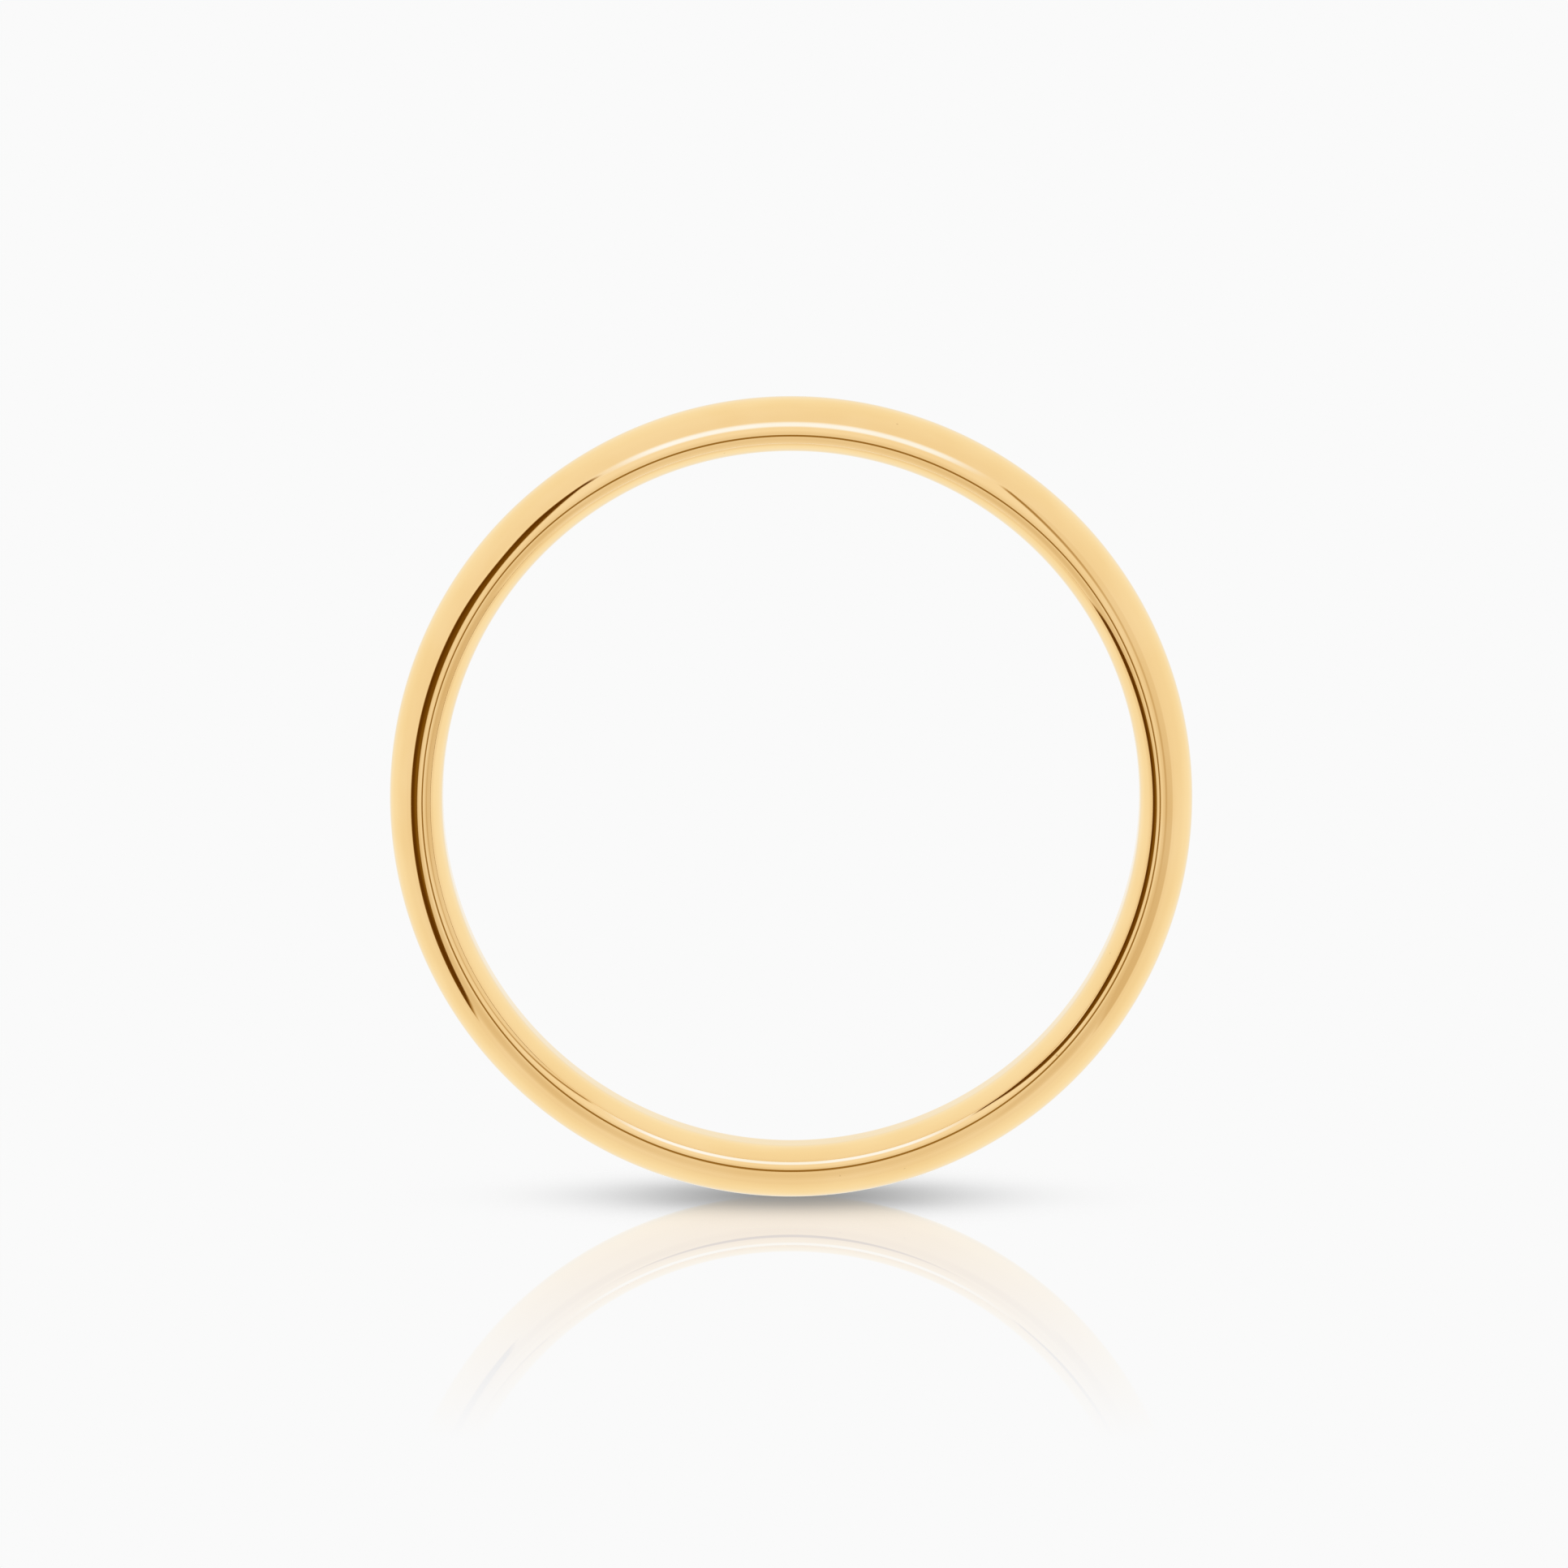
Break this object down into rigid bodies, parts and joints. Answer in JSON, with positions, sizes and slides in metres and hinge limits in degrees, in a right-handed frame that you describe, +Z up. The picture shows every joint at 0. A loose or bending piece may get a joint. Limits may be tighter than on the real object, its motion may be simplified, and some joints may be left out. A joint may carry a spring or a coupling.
{
  "type": "wedding band",
  "caption": "Plain polished gold finger ring with a domed outside, rounded edges and a comfort-fit bore.",
  "frame": {"origin": "centre of the bore, on the ring's axis and midway between its two edges", "axes": "+Y along the ring's axis, which is the way a finger goes through; +Z up, with the ring standing on its rim; +X to the right"},
  "size_m": [0.02, 0.004, 0.02],
  "materials": {
    "gold": "mirror-polished yellow gold with faint polishing lines"
  },
  "bodies": {
    "root": {"band": "gold"}
  },
  "joints": []
}
